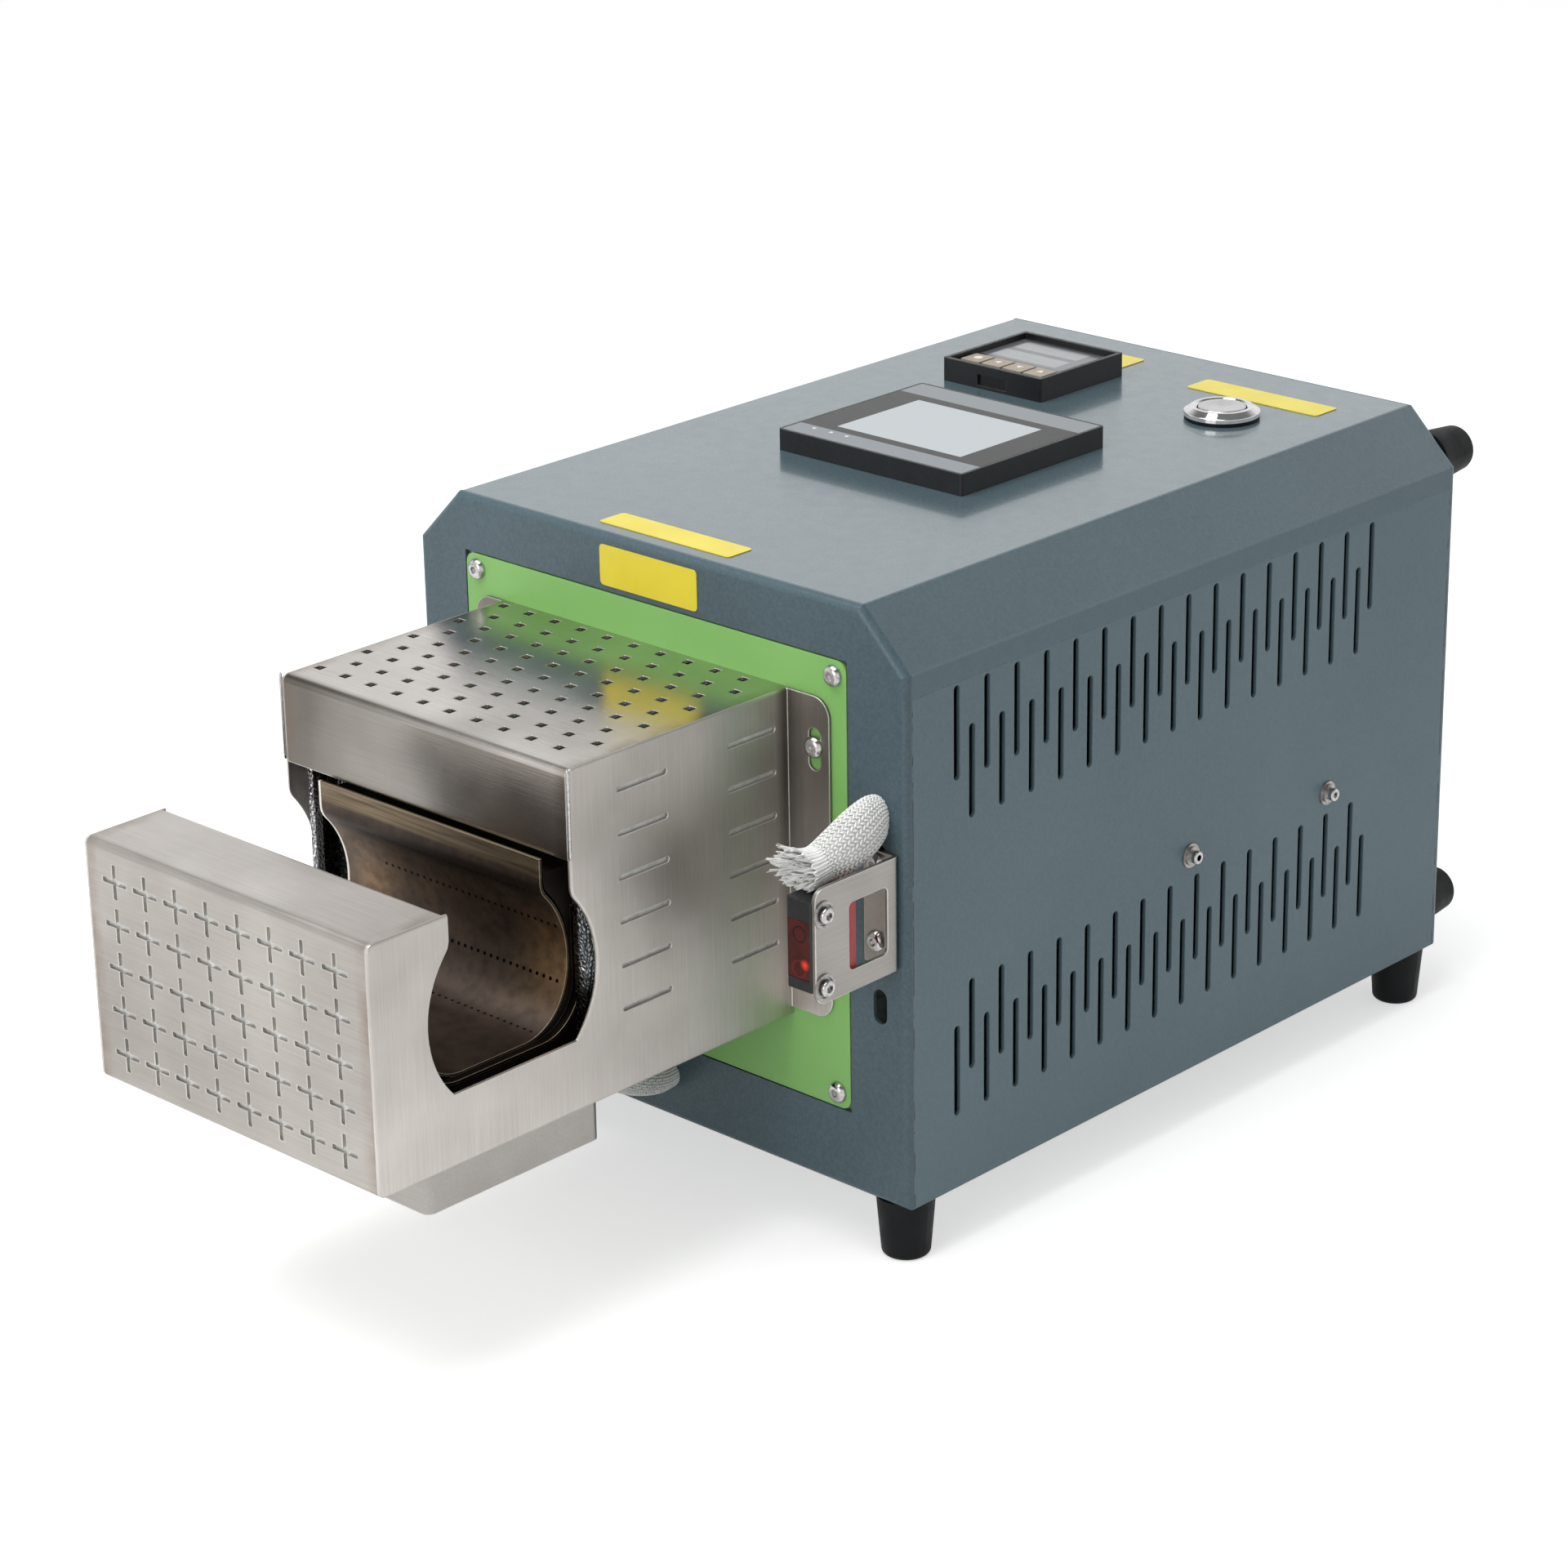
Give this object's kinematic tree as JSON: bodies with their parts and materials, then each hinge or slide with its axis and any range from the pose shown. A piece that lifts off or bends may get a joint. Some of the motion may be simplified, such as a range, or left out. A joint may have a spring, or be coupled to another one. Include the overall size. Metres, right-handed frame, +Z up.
{
  "type": "heat-shrink tubing oven",
  "caption": "Bench-top hot-air oven for shrink tubing: slotted stainless head, green plate, vented grey case, touch panel, temperature controller, start button and light sensor.",
  "frame": {"origin": "on the bench, under the middle of the oven's overall length and width", "axes": "+X to the right seen from the head, +Y from the head to the rear, +Z up"},
  "size_m": [0.2388, 0.5104, 0.2413],
  "materials": {
    "case_paint": "blue-grey enamel",
    "plate_paint": "green enamel",
    "stainless": "brushed stainless sheet",
    "stained_steel": "heat-stained stainless sheet",
    "galvanised": "zinc-plated sheet",
    "screw_steel": "bright plated steel",
    "foil": "foil-faced glass fibre",
    "ceramic": "fired ceramic",
    "blower_plastic": "black moulded plastic",
    "motor_steel": "dark enamel",
    "alloy": "mill-finish aluminium",
    "relay_plastic": "cream moulded plastic",
    "rubber": "black rubber",
    "instrument_plastic": "fine-grained black plastic",
    "controller_print": "dark printed face",
    "key_rubber": "beige silicone",
    "overlay": "printed film on glass",
    "button_chrome": "polished steel",
    "button_steel": "spun steel",
    "sensor_plastic": "black moulded plastic",
    "sensor_red": "red translucent plastic",
    "sensor_cap_red": "red moulded plastic",
    "sleeve": "woven glass fibre"
  },
  "bodies": {
    "machine": {"base_feet": "rubber", "base_tray": "galvanised", "blower_cover": "blower_plastic", "blower_housing": "blower_plastic", "blower_motor": "motor_steel", "blower_stand": "galvanised", "bracket_screws": "screw_steel", "carrier_frame": "galvanised", "controller_clamp": "galvanised", "controller_face": "controller_print", "controller_housing": "instrument_plastic", "front_panel": "case_paint", "guard_front": "stainless", "guard_hood": "stainless", "guard_screws": "screw_steel", "guard_side_left": "stainless", "guard_side_right": "stainless", "guard_tray": "stainless", "heater_core": "ceramic", "heater_sleeve": "sleeve", "heater_tube": "stained_steel", "insulation_boards": "foil", "main_switch_frame": "blower_plastic", "nozzle_liner": "stained_steel", "nozzle_plate": "plate_paint", "plate_screws": "screw_steel", "plenum_ends": "stained_steel", "plenum_shell": "stained_steel", "power_inlet": "blower_plastic", "power_supply": "alloy", "rear_bumpers": "rubber", "rear_panel": "case_paint", "relay_heatsink": "alloy", "sensor_bracket": "stainless", "sensor_cap": "sensor_cap_red", "sensor_housing": "sensor_plastic", "sensor_lens": "sensor_red", "sensor_screws": "screw_steel", "sensor_sleeve": "sleeve", "side_panel_left": "case_paint", "side_panel_right": "case_paint", "side_screws": "screw_steel", "side_washers": "screw_steel", "solid_state_relay": "relay_plastic", "start_button_bezel": "button_chrome", "start_button_gasket": "rubber", "start_button_nut": "screw_steel", "top_cover": "case_paint", "touch_panel_clamps": "galvanised", "touch_panel_housing": "instrument_plastic", "touch_panel_overlay": "overlay"},
    "start_button": {"start_button_plunger": "button_steel"},
    "blower_rotor": {"blower_impeller": "blower_plastic", "blower_shaft": "screw_steel"},
    "main_switch": {"main_switch_rocker": "blower_plastic"},
    "key_set": {"controller_key_set": "key_rubber"},
    "key_shift": {"controller_key_shift": "key_rubber"},
    "key_down": {"controller_key_down": "key_rubber"},
    "key_up": {"controller_key_up": "key_rubber"}
  },
  "joints": [
    {"name": "start_button_press", "type": "slide", "parent": "machine", "child": "start_button", "axis": [0, 0, -1], "range_m": [0, 0.0025], "stiffness_N_per_m": 2000, "springref_m": -0.0006},
    {"name": "blower_spin", "type": "hinge", "parent": "machine", "child": "blower_rotor", "pos_m": [-0.0045, 0.1468, 0.0943], "axis": [1, 0, 0], "continuous": true},
    {"name": "main_switch_rock", "type": "hinge", "parent": "machine", "child": "main_switch", "pos_m": [0.06, 0.2322, 0.0998], "axis": [0, 0, 1], "range_deg": [0, 20]},
    {"name": "key_set_press", "type": "slide", "parent": "machine", "child": "key_set", "axis": [0, 0, -1], "range_m": [0, 0.0006], "stiffness_N_per_m": 1500, "springref_m": -0.0003},
    {"name": "key_shift_press", "type": "slide", "parent": "machine", "child": "key_shift", "axis": [0, 0, -1], "range_m": [0, 0.0006], "stiffness_N_per_m": 1500, "springref_m": -0.0003},
    {"name": "key_down_press", "type": "slide", "parent": "machine", "child": "key_down", "axis": [0, 0, -1], "range_m": [0, 0.0006], "stiffness_N_per_m": 1500, "springref_m": -0.0003},
    {"name": "key_up_press", "type": "slide", "parent": "machine", "child": "key_up", "axis": [0, 0, -1], "range_m": [0, 0.0006], "stiffness_N_per_m": 1500, "springref_m": -0.0003}
  ]
}
